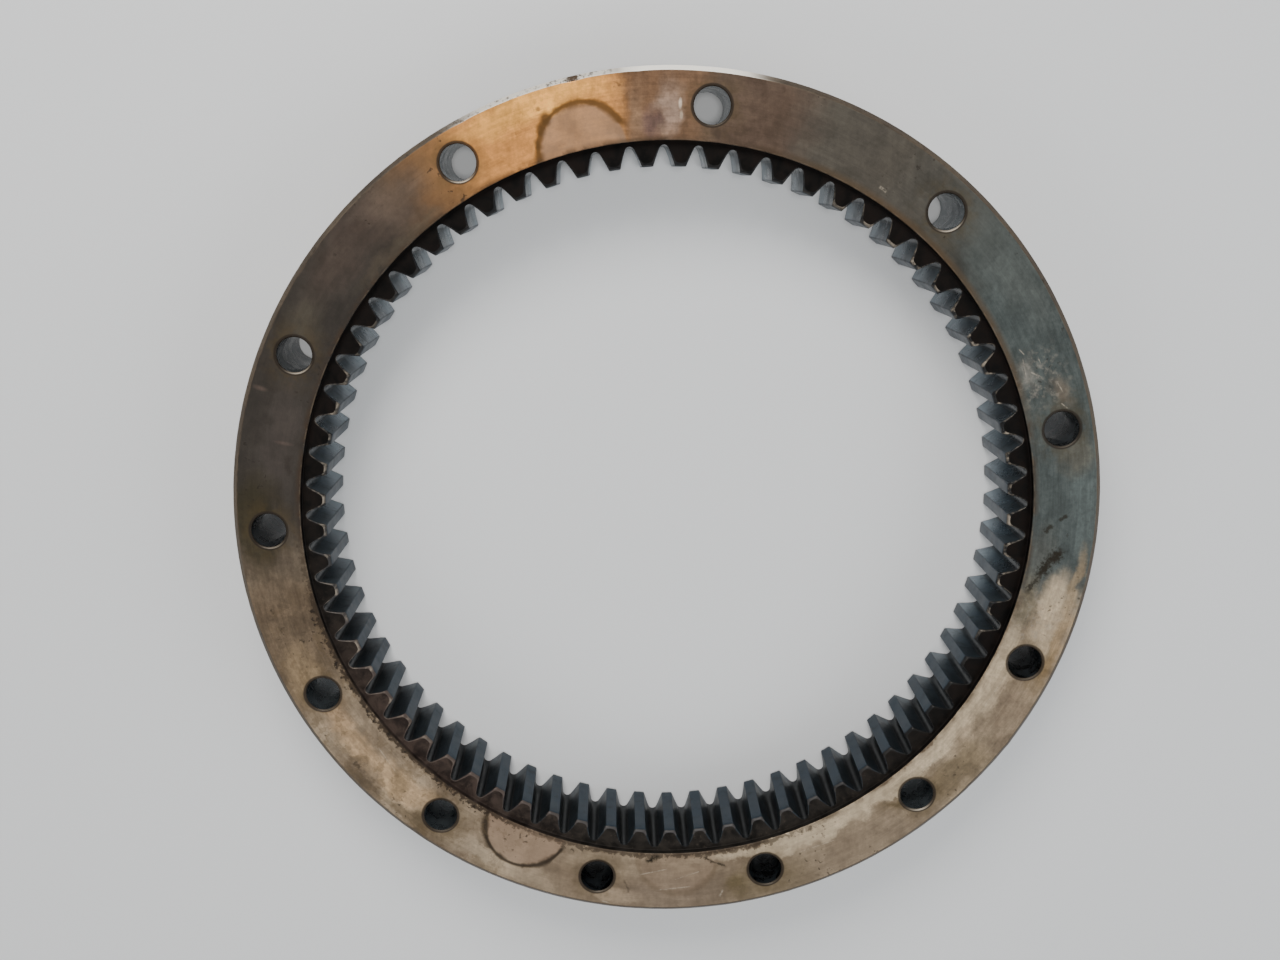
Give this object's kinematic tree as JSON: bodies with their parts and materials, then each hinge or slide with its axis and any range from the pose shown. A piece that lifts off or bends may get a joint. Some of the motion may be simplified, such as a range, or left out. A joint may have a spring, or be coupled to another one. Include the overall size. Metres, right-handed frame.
{
  "type": "internal ring gear",
  "caption": "Flat steel ring with straight involute teeth on the inside, a shallow turned step in front of the teeth and plain bolt holes through its face, for a planetary final drive.",
  "frame": {"origin": "centre of the back face, on the gear's axis", "axes": "+Z along the axis, out of the stepped front face; +Y towards the middle of the widely spaced bolt holes; +X completes the right-handed set"},
  "size_m": [0.428, 0.428, 0.051],
  "materials": {
    "worn_steel": "worn machined steel with brown oil stain on the faces and dark oiled teeth"
  },
  "bodies": {
    "root": {"ring_gear": "worn_steel"}
  },
  "joints": []
}
